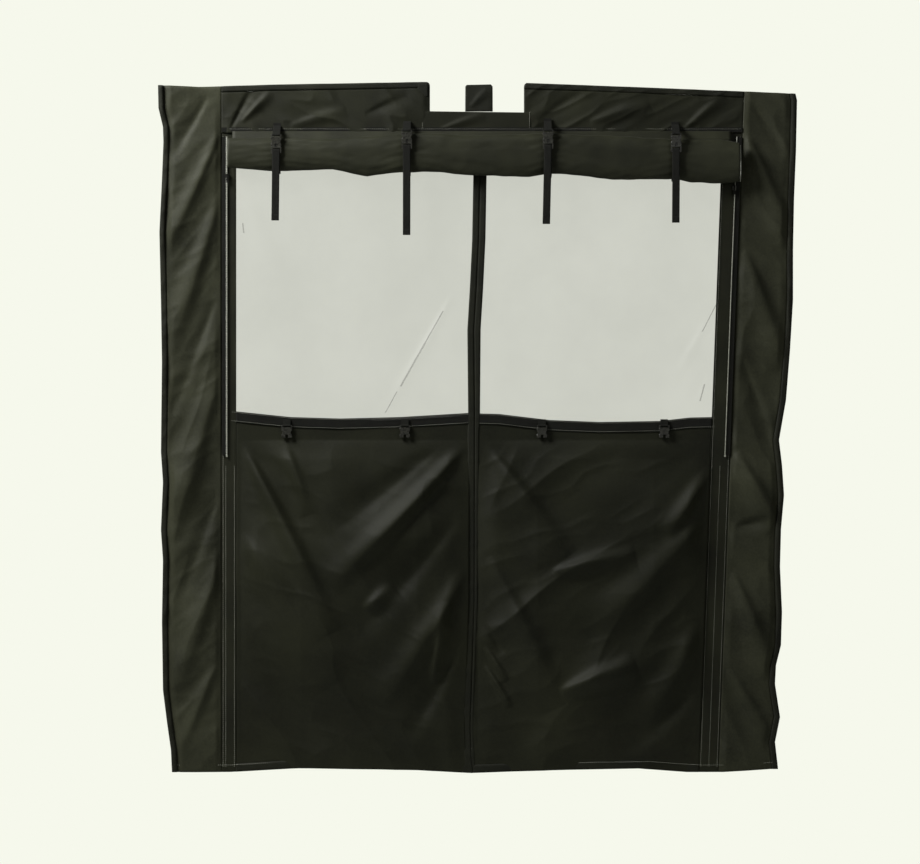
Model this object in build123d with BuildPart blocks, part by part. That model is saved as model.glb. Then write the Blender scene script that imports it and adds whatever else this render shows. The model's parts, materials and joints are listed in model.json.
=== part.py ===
from build123d import *
import math
import os

# Hanging rear door screen: a black cloth surround with two mesh leaves that part in the middle, a blackout shade
# that rolls up under four buckled straps, and a zip down each side for the shade.
# Millimetres. The screen hangs in the XZ plane, Z up, and its front is -Y. The origin is on the flat back face of
# the header, at the middle of its centre band. "Depth" is the distance forward of that face, so y = -depth.

# ---- whole screen
header_rise = 99.0  # origin up to the header's top edge
seam_drop = 27.0  # origin down to the seam under the header
hem_drop = 1730.0  # origin down to the lower edge
cloth = 2.0  # coated cloth with its lining
gap = 0.3  # clearance at every fold and between pieces that move
seat = 0.05  # room between pieces that lie on each other

# ---- side lines, each given as a distance from the middle
coil_left = 669.0  # left zip coil
coil_right = 693.0  # right zip coil at the header seam
coil_lean = 64.0  # the right side hangs out of square: how far its coil has come in at the hem
fold_out = 15.0  # from a coil out to the fold line of the side flap
rail_left = 24.0  # from a coil in to the edge of the leaf
rail_right = 38.0
flap_top = (184.0, 160.0)  # from the coils out to the edges of the flaps, left and right
flap_bottom = (149.0, 171.0)
edge_top = (coil_left + flap_top[0], coil_right + flap_top[1])
edge_bottom = (coil_left + flap_bottom[0], coil_right - coil_lean + flap_bottom[1])

# ---- header
notch_left, notch_right = -127.0, 124.0
notch_floor = 27.0  # height of the notch's floor above the origin
band_left, band_right = -151.0, 143.0  # centre band under the notch
tab_middle, tab_width, tab_height, tab_cloth = 4.0, 74.0, 74.0, 1.6
hem_width, hem_depth = 15.0, 5.0  # folded hem that holds the magnets
tunnel_width, tunnel_depth = 11.0, 2.6
magnet_width, magnet_depth, magnet_length = 10.0, 2.0, 30.0
magnet_pitch = 190.0
seam_tape_height, seam_tape_depth = 12.0, 2.0

# ---- leaves
mesh_depth = 0.8
waist_drop = 785.0  # origin down to the top of the waistband
waist_height, waist_depth = 32.0, 2.0
closing_width, closing_depth = 17.8, 4.4  # strip with magnets, down the meeting edge of each leaf
closing_tunnel_width, closing_tunnel_depth = 12.0, 2.4
closing_magnet_length, closing_magnet_pitch = 25.0, 112.0
lower_hem_height, lower_hem_depth = 25.0, 1.6

# ---- zips
coil_radius, coil_depth = 1.35, 5.0
coil_top, coil_end = 40.0, 889.0  # origin down to its ends
tape_root, tape_edge, tape_cloth = 13.0, 7.0, 0.8
slider_height, slider_plate, slider_room, slider_wall = 11.0, 1.0, 0.25, 1.2
slider_web = 0.6
slider_drop = {"left": 150.0, "right": 182.0}
bail_reach, bail_wall, bail_span, bail_pin = 2.6, 1.2, 3.8, 0.8
pull_length, pull_cloth, pull_eye = 22.0, 1.6, 2.3

# ---- rolled shade: distance along X, drop of its top, drop of its bottom
roll_back, roll_depth = 13.5, 34.0
roll_short, roll_long = 5.0, 4.0  # the roll ends short of the left coil and past the right one
roll_sections = (
    (-coil_left + roll_short, 53.0, 128.0),
    (-535.0, 46.0, 134.0),
    (-300.0, 40.0, 147.0),
    (-188.0, 36.0, 139.0),
    (0.0, 34.0, 150.0),
    (187.0, 36.0, 144.0),
    (350.0, 43.0, 160.0),
    (527.0, 51.0, 154.0),
    (coil_right + roll_long, 56.0, 165.0),
)
edge_coil_width, edge_coil_wall = 3.0, 2.5

# ---- webbing and buckles
webbing_width, webbing = 20.0, 1.4
straps = ((-535.0, 12.0, 176.0), (-188.0, 0.0, 216.0), (187.0, 0.0, 190.0), (527.0, 9.0, 188.0))
bar_drop = 27.0  # origin down to the bar of an upper buckle
buckle_rim, buckle_thick = 4.0, 8.0  # a buckle is wider than its webbing by a rim on each side
buckle_width = webbing_width + 2 * buckle_rim
buckle_depth = roll_back + roll_depth + buckle_thick / 2 + 0.5  # middle plane of the upper buckles
strap_sag = 2.5  # how far a strap hangs below the roll
bar_radius = 1.5
socket_top, socket_floor, socket_mouth = 4.6, 8.0, 32.0  # below the bar
socket_wall, socket_gap = 3.0, 5.0
socket_width = buckle_width - 2 * socket_wall
window_top, window_end = 12.0, 24.0
waist_cut = 9.0
slot_side = 0.7  # beside the webbing, in a slot
clip_bars, clip_slot, clip_arm_thick = 3.0, 3.5, 6.0
guide_width, guide_thick, guide_top = 6.0, 3.0, 12.0
lower_clips = {"left": (-509.0, -194.0), "right": (172.0, 498.0)}
lower_bar_rise = 6.0  # how far the lower bars are above the waistband's lower edge
lower_bar_depth = 8.6

sides = {"left": -1, "right": 1}
top_z, seam_z, hem_z = header_rise, -seam_drop, -hem_drop
os.makedirs("parts", exist_ok=True)


def keep(piece, label):
    """Names a finished piece and writes it to a file of its own."""
    piece.part.label = label
    export_step(piece.part, f"parts/{label}.step")


def coil_x(name, z):
    """X of a zip coil's line at height z, on the left or the right."""
    if name == "left":
        return -coil_left
    return coil_right - coil_lean * (seam_z - z) / (hem_drop - seam_drop)


def beside(name, z, out):
    """X of a line that runs beside the coil, that far outwards of it."""
    return coil_x(name, z) + sides[name] * out


def edge_x(name, z, inward=0.0):
    """X of a flap's outer edge at height z, or of a line that far inside it."""
    i = 0 if name == "left" else 1
    share = (top_z - z) / (top_z - hem_z)
    return sides[name] * (edge_top[i] + (edge_bottom[i] - edge_top[i]) * share - inward)


def rail_reach(name):
    """From a coil in to the axis that its leaf swings on."""
    return rail_left if name == "left" else rail_right


def slab(outline, back, depth):
    """A flat cloth piece: an outline of (x, z) points, from one depth forwards."""
    with BuildPart() as piece:
        with BuildSketch(Plane.XZ.offset(back)):
            with BuildLine():
                Polyline(*outline, close=True)
            make_face()
        extrude(amount=depth)
    return piece


def block(x0, x1, z0, z1, back, depth):
    """A flat cloth piece with square corners."""
    return slab([(x0, z0), (x1, z0), (x1, z1), (x0, z1)], back, depth)


def upwards(x0, z0, x1, z1, depth=0.0):
    """A plane at the lower end of a line in XZ, looking up it: local x is depth, local y is +X."""
    return Plane(origin=(x0, -depth, z0), x_dir=(0, -1, 0), z_dir=(x1 - x0, 0, z1 - z0))


def run(x0, z0, x1, z1):
    return math.hypot(x1 - x0, z1 - z0)


def tube(line, width, depth, inner_width, inner_depth):
    """A hem folded into a flat tube along a line, open at both ends."""
    with BuildPart() as piece:
        with BuildSketch(upwards(*line)):
            with Locations((depth / 2, 0)):
                Rectangle(depth, width)
                Rectangle(inner_depth, inner_width, mode=Mode.SUBTRACT)
        extrude(amount=run(*line))
    return piece


def magnets(line, pitch, length, depth):
    """Bar magnets in a row along the middle of a hem's tube."""
    total = run(*line)
    count = int((total - length) // pitch) + 1
    first = (total - (count - 1) * pitch) / 2
    plane = upwards(*line, depth)
    with BuildPart() as row:
        with Locations(*[plane.offset(first + i * pitch) for i in range(count)]):
            Box(magnet_depth, magnet_width, length)
    return row


def rod(line, radius, depth):
    """A round cord or bead along a line."""
    with BuildPart() as piece:
        with BuildSketch(upwards(*line, depth)):
            Circle(radius)
        extrude(amount=run(*line))
    return piece


# ---- header, the flat top that the screen hangs from


def make_header():
    """The header's cloth, its magnet hem, the band under the notch and the tab that folds over a latch."""
    edge = fold_out - cloth / 2 - gap
    hem_z0 = top_z - hem_width
    left = [
        (beside("left", seam_z, edge), seam_z),
        (band_left, seam_z),
        (band_left, notch_floor),
        (notch_left, notch_floor),
        (notch_left, hem_z0),
        (beside("left", hem_z0, edge), hem_z0),
    ]
    right = [
        (beside("right", seam_z, edge), seam_z),
        (band_right, seam_z),
        (band_right, notch_floor),
        (notch_right, notch_floor),
        (notch_right, hem_z0),
        (beside("right", hem_z0, edge), hem_z0),
    ]
    keep(slab(left, 0, cloth), "header_left")
    keep(slab(right, 0, cloth), "header_right")
    keep(block(band_left, band_right, seam_z, notch_floor, 0, cloth), "header_band")

    spans = (
        (beside("left", top_z, edge), notch_left),
        (notch_right, beside("right", hem_z0, edge)),
    )
    middle = top_z - hem_width / 2
    with BuildPart() as hem:
        for x0, x1 in spans:
            with BuildSketch(Plane.YZ.offset(x0)):
                with Locations((-hem_depth / 2, middle)):
                    Rectangle(hem_depth, hem_width)
                    Rectangle(tunnel_depth, tunnel_width, mode=Mode.SUBTRACT)
            extrude(amount=x1 - x0)
    keep(hem, "header_hem")

    with BuildPart() as bars:
        for x0, x1 in spans:
            count = int((x1 - x0 - magnet_length) // magnet_pitch) + 1
            with Locations(((x0 + x1) / 2, -hem_depth / 2, middle)):
                with GridLocations(magnet_pitch, 1, count, 1):
                    Box(magnet_length, magnet_depth, magnet_width)
    keep(bars, "header_magnets")

    tape_ends = [beside(name, seam_z, edge) for name in sides]
    keep(
        block(*tape_ends, seam_z, seam_z + seam_tape_height, cloth, seam_tape_depth),
        "seam_tape",
    )

    knuckle = tab_cloth / 2
    pivot = notch_floor + gap + knuckle
    x0, x1 = tab_middle - tab_width / 2, tab_middle + tab_width / 2
    sheet = block(x0, x1, pivot, notch_floor + tab_height, cloth / 2 - knuckle, tab_cloth)
    with BuildPart() as tab:
        add(sheet.part)
        fillet(tab.edges().filter_by(Axis.Y).group_by(Axis.Z)[-1], tab_width / 10)
        with BuildSketch(Plane.YZ.offset(x0)):
            with Locations((-cloth / 2, pivot)):
                Circle(knuckle)
        extrude(amount=x1 - x0)
    keep(tab, "top_tab")


# ---- sides: a flap that folds back round the door frame, and the rail that carries the zip


def make_side(name):
    """One side flap with its magnet hem, and the rail beside it. Gives back the zip's tape, coil and stop."""
    side = sides[name]
    fold_top, fold_low = beside(name, top_z, fold_out), beside(name, hem_z, fold_out)
    outline = [
        (fold_top, top_z),
        (edge_x(name, top_z, hem_width), top_z),
        (edge_x(name, hem_z, hem_width), hem_z),
        (fold_low, hem_z),
    ]
    sheet = slab(outline, 0, cloth)
    bead = rod((fold_low, hem_z, fold_top, top_z), cloth / 2, cloth / 2)
    with BuildPart() as flap:
        add([sheet.part, bead.part])
    keep(flap, f"{name}_flap")

    inset = hem_width / 2 - gap / 2
    hem_line = (edge_x(name, hem_z, inset), hem_z, edge_x(name, top_z, inset), top_z)
    keep(
        tube(hem_line, hem_width - gap, hem_depth, tunnel_width, tunnel_depth),
        f"{name}_flap_hem",
    )
    keep(
        magnets(hem_line, magnet_pitch, magnet_length, hem_depth / 2),
        f"{name}_flap_magnets",
    )

    outer = fold_out - cloth / 2 - gap
    inner = -(rail_reach(name) - cloth / 2 - gap)
    keep(
        slab(
            [
                (beside(name, seam_z, outer), seam_z),
                (beside(name, seam_z, inner), seam_z),
                (beside(name, hem_z, inner), hem_z),
                (beside(name, hem_z, outer), hem_z),
            ],
            0,
            cloth,
        ),
        f"{name}_rail",
    )

    line = (coil_x(name, -coil_end), -coil_end, coil_x(name, -coil_top), -coil_top)
    back, front = coil_depth - tape_cloth / 2, coil_depth + tape_cloth / 2
    with BuildPart() as tape:
        with BuildSketch(upwards(*line)):
            with BuildLine():
                Polyline(
                    (cloth, side * tape_root),
                    (front, side * tape_root),
                    (front, side * coil_radius),
                    (back, side * coil_radius),
                    (back, side * tape_edge),
                    (cloth, side * tape_edge),
                    close=True,
                )
            make_face()
        extrude(amount=run(*line))

    stop_height = 5.0
    x, z = coil_x(name, -coil_end), -coil_end - stop_height
    half = coil_radius + 1
    return tape, rod(line, coil_radius, coil_depth), block(
        x - half, x + half, z, -coil_end - 2 * seat, cloth, coil_depth + coil_radius - cloth
    )


def make_slider(name):
    """A zip slider that runs on the coil, and the pull that swings on its bail."""
    side = sides[name]
    z = -slider_drop[name]
    x = coil_x(name, z)
    top = (coil_x(name, z + slider_height), z + slider_height)
    frame = upwards(x, z, *top)
    room = coil_radius + slider_room
    pitch = 2 * room + slider_web
    width = pitch + 2 * room + 2 * slider_wall
    middle = -side * pitch / 2
    front = coil_depth + room + slider_plate
    pin = front + bail_reach
    ear = bail_pin + bail_wall / 2
    with BuildPart() as slider:
        with BuildSketch(frame):
            with Locations((coil_depth, middle)):
                Rectangle(2 * (room + slider_plate), width)
            with Locations((coil_depth, 0), (coil_depth, 2 * middle)):
                Rectangle(2 * room, 2 * room, mode=Mode.SUBTRACT)
            with Locations((coil_depth, middle)):
                Rectangle(tape_cloth + 2 * slider_room, 2 * width, mode=Mode.SUBTRACT)
            with Locations((coil_depth, middle)):
                Rectangle(2 * room, slider_web)
        extrude(amount=slider_height)
        for reach in (-1, 1):
            at = middle + reach * (bail_span + bail_wall) / 2
            with BuildSketch(frame.offset(slider_height - 2 * ear)):
                with Locations(((front + pin + ear) / 2 - 0.1, at)):
                    Rectangle(pin + ear - front + 0.2, bail_wall)
            extrude(amount=2 * ear)
        along = Plane(frame.from_local_coords((pin, middle, slider_height - ear)), z_dir=frame.y_dir)
        with BuildSketch(along.offset(-bail_span / 2 - bail_wall / 2)):
            Circle(bail_pin)
        extrude(amount=bail_span + bail_wall)
    keep(slider, f"{name}_slider")

    hang = Plane(frame.from_local_coords((pin, middle, slider_height - ear)), x_dir=frame.x_dir, z_dir=frame.y_dir)
    pull_width = bail_span - 2 * gap
    with BuildPart() as pull:
        with BuildSketch(hang.offset(-pull_width / 2)):
            Circle(pull_eye)
            with Locations((0, pull_length / 2)):
                Rectangle(pull_cloth, pull_length)
            Circle(bail_pin + gap, mode=Mode.SUBTRACT)
        extrude(amount=pull_width)
        with BuildSketch(hang.offset(-pull_width)):
            with Locations((0, pull_length * 0.75)):
                Rectangle(pull_cloth, pull_length / 2)
        extrude(amount=2 * pull_width)
    keep(pull, f"{name}_pull")


# ---- leaves: mesh above, cloth below, sewn to a piping that they swing on


def make_leaf(name):
    """One leaf of the curtain, with its meeting strip, waistband, hem and the loops of its lower buckles."""
    side = sides[name]
    axis = lambda z: beside(name, z, -rail_reach(name))
    leaf_top = seam_z - gap - 0.2
    hang = lambda z: axis(z) - side * (cloth / 2 + seat)
    meeting = side * (gap / 2 + closing_width)
    split = -waist_drop - waist_height / 2

    keep(
        rod((axis(hem_z), hem_z, axis(leaf_top), leaf_top), cloth / 2, cloth / 2),
        f"{name}_piping",
    )
    keep(
        slab(
            [(hang(leaf_top), leaf_top), (meeting, leaf_top), (meeting, split), (hang(split), split)],
            cloth - mesh_depth,
            mesh_depth,
        ),
        f"{name}_mesh",
    )
    keep(
        slab(
            [(hang(split), split), (meeting, split), (meeting, hem_z), (hang(hem_z), hem_z)],
            0,
            cloth,
        ),
        f"{name}_lower_panel",
    )
    waist_end = -waist_drop - waist_height
    keep(
        slab(
            [
                (hang(-waist_drop), -waist_drop),
                (meeting, -waist_drop),
                (meeting, waist_end),
                (hang(waist_end), waist_end),
            ],
            cloth,
            waist_depth,
        ),
        f"{name}_waistband",
    )
    hem_top = hem_z + lower_hem_height
    keep(
        slab(
            [(hang(hem_z), hem_z), (meeting, hem_z), (meeting, hem_top), (hang(hem_top), hem_top)],
            cloth,
            lower_hem_depth,
        ),
        f"{name}_lower_hem",
    )
    middle = side * (gap / 2 + closing_width / 2)
    line = (middle, hem_z, middle, leaf_top)
    keep(
        tube(line, closing_width, closing_depth, closing_tunnel_width, closing_tunnel_depth),
        f"{name}_closing_strip",
    )
    keep(
        magnets(line, closing_magnet_pitch, closing_magnet_length, closing_depth / 2),
        f"{name}_closing_magnets",
    )

    front = cloth + waist_depth + webbing + seat
    pair = [loop_tab(x, [(front, lower_bar_z() + 17)], lower_bar_depth, lower_bar_z()) for x in lower_clips[name]]
    with BuildPart() as loops:
        add([loop.part for loop in pair])
    keep(loops, f"{name}_lower_loops")


def lower_bar_z():
    """Height of the bars that the lower buckles hang from."""
    return -waist_drop - waist_height + lower_bar_rise


# ---- buckles and webbing


def loop_tab(x, route, bar_depth, bar_z):
    """Webbing doubled along a route of (depth, z) points, ending in a loop round a buckle's bar."""
    inner = bar_radius + gap
    points = [(-d, z) for d, z in route] + [(-bar_depth, bar_z)]
    with BuildPart() as tab:
        with BuildSketch(Plane.YZ.offset(x - webbing_width / 2)):
            with BuildLine() as path:
                if len(points) > 2:
                    FilletPolyline(*points, radius=3)
                else:
                    Line(*points)
            trace(path.edges(), 2 * webbing)
            with Locations((-bar_depth, bar_z)):
                Circle(inner + webbing)
                Circle(inner, mode=Mode.SUBTRACT)
        extrude(amount=webbing_width)
    return tab


def make_socket(x, depth, z):
    """The female half of a side release buckle, hanging mouth down from a round bar."""
    half = buckle_width / 2
    with BuildPart() as socket:
        with BuildSketch(Plane.XZ.offset(depth - buckle_thick / 2)):
            with Locations((x, z - (socket_top + socket_mouth) / 2)):
                RectangleRounded(buckle_width, socket_mouth - socket_top, 3)
            with Locations(*[(x + s * (half + waist_cut * 0.72), z - (window_top + window_end) / 2) for s in (-1, 1)]):
                Circle(waist_cut, mode=Mode.SUBTRACT)
        extrude(amount=buckle_thick)
        chamfer(socket.faces().filter_by(Axis.Y).edges(), 0.8)
        with Locations((x, -depth, z - (socket_floor + socket_mouth + 1) / 2)):
            Box(socket_width, socket_gap, socket_mouth + 1 - socket_floor, mode=Mode.SUBTRACT)
        with Locations((x, -depth, z - (window_top + window_end) / 2)):
            Box(2 * buckle_width, socket_gap, window_end - window_top, mode=Mode.SUBTRACT)
        with Locations((x, -depth, z - (window_end + socket_mouth) / 2)):
            Box(guide_width + 1, 2 * buckle_thick, socket_mouth + 1 - window_end, mode=Mode.SUBTRACT)
        arm = half - webbing_width / 2 - slot_side
        with Locations(*[(x + s * (half - arm / 2), -depth, z - socket_top / 2) for s in (-1, 1)]):
            Box(arm, 2 * bar_radius, socket_top + 1)
        with BuildSketch(Plane.YZ.offset(x - half)):
            with Locations((-depth, z)):
                Circle(bar_radius)
        extrude(amount=buckle_width)
    return socket


def clip_top(z):
    return z - socket_mouth - 0.4


def clip_bar_z(z):
    """Height of the clip's middle bar, that the webbing turns round."""
    return clip_top(z) - clip_bars - clip_slot - clip_bars / 2


def make_clip(x, depth, z):
    """The male half: a guide tongue on a ladder frame. z is the height of its socket's bar."""
    half = buckle_width / 2
    top = clip_top(z)
    height = 3 * clip_bars + 2 * clip_slot
    arm = half - webbing_width / 2 - slot_side
    with BuildPart() as clip:
        with Locations((x, -depth, top - clip_bars / 2)):
            Box(buckle_width, clip_arm_thick, clip_bars)
        with Locations(*[(x + s * (half - arm / 2), -depth, top - height / 2) for s in (-1, 1)]):
            Box(arm, clip_arm_thick, height)
        fillet(clip.edges().filter_by(Axis.Y), 1)
        with BuildSketch(Plane.YZ.offset(x - half + arm / 2)):
            with Locations(*[(-depth, top - clip_bars / 2 - i * (clip_bars + clip_slot)) for i in (1, 2)]):
                Circle(clip_bars / 2)
        extrude(amount=buckle_width - arm)
        with Locations((x, -depth, (top + z - guide_top) / 2)):
            Box(guide_width, guide_thick, z - guide_top - top)
    return clip


def make_prongs(x, depth, z):
    """The two sprung arms of the male half, whose barbs rest on the socket's shoulders."""
    foot, catch = socket_mouth + 0.4, window_end - gap
    wall = socket_width / 2
    with BuildPart() as prongs:
        for s in (-1, 1):
            with BuildSketch(Plane.XZ.offset(depth - clip_bars / 2)):
                with BuildLine():
                    Polyline(
                        (x + s * (wall - 4.5), z - foot),
                        (x + s * (wall - 1.5), z - foot),
                        (x + s * (wall - 1.2), z - catch),
                        (x + s * (wall + 1.8), z - catch),
                        (x + s * (wall + 1.4), z - catch + 4),
                        (x + s * (wall - 0.6), z - window_top - 1),
                        (x + s * (wall - 2.4), z - window_top + 0.5),
                        (x + s * (wall - 3.6), z - window_top - 2),
                        close=True,
                    )
                make_face()
            extrude(amount=clip_bars)
    return prongs


def roll_at(x):
    """Drop of the roll's top and bottom at x, between the sections on either side."""
    for (x0, a0, b0), (x1, a1, b1) in zip(roll_sections, roll_sections[1:]):
        if x0 <= x <= x1:
            share = (x - x0) / (x1 - x0)
            return a0 + (a1 - a0) * share, b0 + (b1 - b0) * share
    raise ValueError(f"no roll at x {x}")


def strap_legs():
    """Depths of the webbing's middle behind and in front of the clip's bar."""
    away = clip_bars / 2 + gap + webbing / 2
    return buckle_depth - away, buckle_depth + away


def make_straps():
    """Four straps round the roll. Each goes down behind it, under it and up to its clip, and its tail hangs."""
    rear, front = strap_legs()
    with BuildPart() as behind:
        for x, _drop, _tail in straps:
            under = -roll_at(x)[1] - strap_sag - webbing
            back = roll_back - 2.2
            with BuildSketch(Plane.YZ.offset(x - webbing_width / 2)):
                with BuildLine() as path:
                    FilletPolyline(
                        (-cloth - 0.9, seam_z),
                        (-cloth - 0.9, seam_z - 4),
                        (-back, seam_z - 23),
                        (-back, under),
                        (-rear + webbing / 2 + gap, under),
                        radius=4,
                    )
                trace(path.edges(), webbing)
            extrude(amount=webbing_width)
    keep(behind, "strap_backs")

    anchor = cloth + webbing + seat
    set_of_tabs = []
    for x, drop, _tail in straps:
        bar = -bar_drop - drop
        set_of_tabs.append(loop_tab(x, [(anchor, bar + 36), (anchor, bar + 28)], buckle_depth, bar))
    with BuildPart() as tabs:
        add([tab.part for tab in set_of_tabs])
    keep(tabs, "buckle_tabs")

    set_of_sockets = [make_socket(x, buckle_depth, -bar_drop - drop) for x, drop, _tail in straps]
    with BuildPart() as sockets:
        add([socket.part for socket in set_of_sockets])
    keep(sockets, "buckle_sockets")

    for number, (x, drop, tail) in enumerate(straps, 1):
        z = -bar_drop - drop
        keep(make_clip(x, buckle_depth, z), f"clip_{number}")
        keep(make_prongs(x, buckle_depth, z), f"clip_prongs_{number}")
        bar = clip_bar_z(z)
        turn = (front - rear) / 2
        under = -roll_at(x)[1] - strap_sag - 1.5 * webbing
        with BuildPart() as strap:
            with BuildSketch(Plane.YZ.offset(x - webbing_width / 2)):
                with BuildLine() as path:
                    Line((-rear, under), (-rear, bar))
                    CenterArc((-buckle_depth, bar), turn, 0, 180)
                    Line((-front, bar), (-front, bar - tail))
                trace(path.edges(), webbing)
            extrude(amount=webbing_width)
        keep(strap, f"strap_{number}")


def make_lower_clips():
    """Four sockets that hang from the waistband, numbered from the left."""
    places = [x for name in sides for x in lower_clips[name]]
    for number, x in enumerate(places, 1):
        keep(make_socket(x, lower_bar_depth, lower_bar_z()), f"lower_socket_{number}")


# ---- shade


def make_shade():
    """The rolled shade with the zip halves on its ends, and the sheet that it hangs from."""
    middle = roll_back + roll_depth / 2
    with BuildPart() as roll:
        for x, top, bottom in roll_sections:
            with BuildSketch(Plane.YZ.offset(x)):
                with Locations((-middle, -(top + bottom) / 2)):
                    Ellipse(roll_depth / 2, (bottom - top) / 2)
        loft(ruled=True)
    keep(roll, "shade_roll")

    with BuildPart() as ends:
        for x, top, bottom, way in (
            (*roll_sections[0], -1),
            (*roll_sections[-1], 1),
        ):
            high = (bottom - top) / 2
            with BuildSketch(Plane.YZ.offset(min(x, x + way * edge_coil_width))):
                with Locations((-middle, -(top + bottom) / 2)):
                    Ellipse(roll_depth / 2, high)
                    Ellipse(roll_depth / 2 - edge_coil_wall, high - edge_coil_wall, mode=Mode.SUBTRACT)
            extrude(amount=edge_coil_width)
    keep(ends, "shade_edge_coils")

    sheet = 0.8
    front = cloth + seam_tape_depth + sheet / 2
    back = roll_back - gap - sheet / 2
    x0, x1 = roll_sections[0][0] + 10, roll_sections[-1][0] - 10
    with BuildPart() as neck:
        with BuildSketch(Plane.YZ.offset(x0)):
            with BuildLine() as path:
                FilletPolyline(
                    (-front, seam_z + 10),
                    (-front, seam_z + 4),
                    (-back, seam_z - 19),
                    (-back, seam_z - 68),
                    radius=4,
                )
            trace(path.edges(), sheet)
        extrude(amount=x1 - x0)
    keep(neck, "shade_neck")


make_header()
zips = []
for side_name in sides:
    zips.append(make_side(side_name))
    make_slider(side_name)
    make_leaf(side_name)
for label, pair in zip(("zip_tapes", "zip_coils", "zip_stops"), zip(*zips)):
    with BuildPart() as both:
        add([one.part for one in pair])
    keep(both, label)
make_straps()
make_lower_clips()
make_shade()
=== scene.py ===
import json
import math

import bmesh
import bpy
import numpy as np
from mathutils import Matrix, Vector, noise


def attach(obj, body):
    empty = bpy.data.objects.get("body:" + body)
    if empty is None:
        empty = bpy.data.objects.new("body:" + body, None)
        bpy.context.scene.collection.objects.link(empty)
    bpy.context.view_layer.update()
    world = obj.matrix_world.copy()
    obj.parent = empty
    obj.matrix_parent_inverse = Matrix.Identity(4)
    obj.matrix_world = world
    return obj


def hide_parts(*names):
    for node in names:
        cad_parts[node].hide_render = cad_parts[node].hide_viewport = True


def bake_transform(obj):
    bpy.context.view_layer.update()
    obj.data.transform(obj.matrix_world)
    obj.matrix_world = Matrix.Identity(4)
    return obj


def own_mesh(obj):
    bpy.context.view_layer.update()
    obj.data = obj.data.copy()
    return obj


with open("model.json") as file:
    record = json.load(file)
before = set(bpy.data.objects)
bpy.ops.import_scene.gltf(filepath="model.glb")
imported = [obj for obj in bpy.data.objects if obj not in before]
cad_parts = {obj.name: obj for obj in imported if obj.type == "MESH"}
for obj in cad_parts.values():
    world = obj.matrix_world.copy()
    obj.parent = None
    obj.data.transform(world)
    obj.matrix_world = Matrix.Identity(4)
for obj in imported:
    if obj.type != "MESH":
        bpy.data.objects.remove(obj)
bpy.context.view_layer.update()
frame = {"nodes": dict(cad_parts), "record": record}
bodyOf = {n: b for b, ns in frame["record"]["behaviour"]["bodies"].items() for n in ns}


def linear(r, g, b):  # a colour as seen, 0 to 255, made linear
    return [c / 12.92 if c < 0.0405 else ((c + 0.055) / 1.055) ** 2.4 for c in (r / 255, g / 255, b / 255)] + [1]


# ---- materials, all on Object coordinates
def startMaterial(name, rough):
    mat = bpy.data.materials.new(name)
    mat.use_nodes = True
    shader = mat.node_tree.nodes["Principled BSDF"]
    shader.inputs["Roughness"].default_value = rough
    return mat, mat.node_tree, shader


def addNode(tree, kind, **values):
    node = tree.nodes.new(kind)
    for key, value in values.items():
        if hasattr(node, key):
            setattr(node, key, value)
        else:
            node.inputs[key.replace("_", " ")].default_value = value
    return node


def clothMaterial(name, dark, light, rough=0.62, sheen=0.12, weave=900, bump=0.25, mottle=6.0):
    mat, tree, shader = startMaterial(name, rough)
    link = tree.links.new
    coord = addNode(tree, "ShaderNodeTexCoord")
    patches = addNode(tree, "ShaderNodeTexNoise", Scale=mottle, Detail=4.0, Roughness=0.55)
    fine = addNode(tree, "ShaderNodeTexNoise", Scale=mottle * 45, Detail=3.0)
    blend = addNode(tree, "ShaderNodeMath", operation="MULTIPLY_ADD")
    blend.inputs[1].default_value = 0.35
    ramp = addNode(tree, "ShaderNodeValToRGB")
    ramp.color_ramp.elements[0].position = 0.45
    ramp.color_ramp.elements[0].color = linear(*dark)
    ramp.color_ramp.elements[1].position = 0.95
    ramp.color_ramp.elements[1].color = linear(*light)
    warp = addNode(tree, "ShaderNodeTexWave", Scale=weave / 6.28, bands_direction="X")
    weft = addNode(tree, "ShaderNodeTexWave", Scale=weave / 6.28, bands_direction="Z")
    cross = addNode(tree, "ShaderNodeMath", operation="MAXIMUM")
    puff = addNode(tree, "ShaderNodeMath", operation="MULTIPLY_ADD")
    puff.inputs[1].default_value = 0.8
    relief = addNode(tree, "ShaderNodeBump", Strength=bump, Distance=0.0012)
    for texture in (patches, fine, warp, weft):
        link(coord.outputs["Object"], texture.inputs["Vector"])
    link(fine.outputs["Fac"], blend.inputs[0])
    link(patches.outputs["Fac"], blend.inputs[2])
    link(blend.outputs[0], ramp.inputs[0])
    link(ramp.outputs[0], shader.inputs["Base Color"])
    link(warp.outputs["Fac"], cross.inputs[0])
    link(weft.outputs["Fac"], cross.inputs[1])
    link(fine.outputs["Fac"], puff.inputs[0])
    link(cross.outputs[0], puff.inputs[2])
    link(puff.outputs[0], relief.inputs["Height"])
    link(relief.outputs[0], shader.inputs["Normal"])
    shader.inputs["Sheen Weight"].default_value = sheen
    shader.inputs["Sheen Roughness"].default_value = 0.4
    shader.inputs["Specular IOR Level"].default_value = 0.09
    return mat


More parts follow.
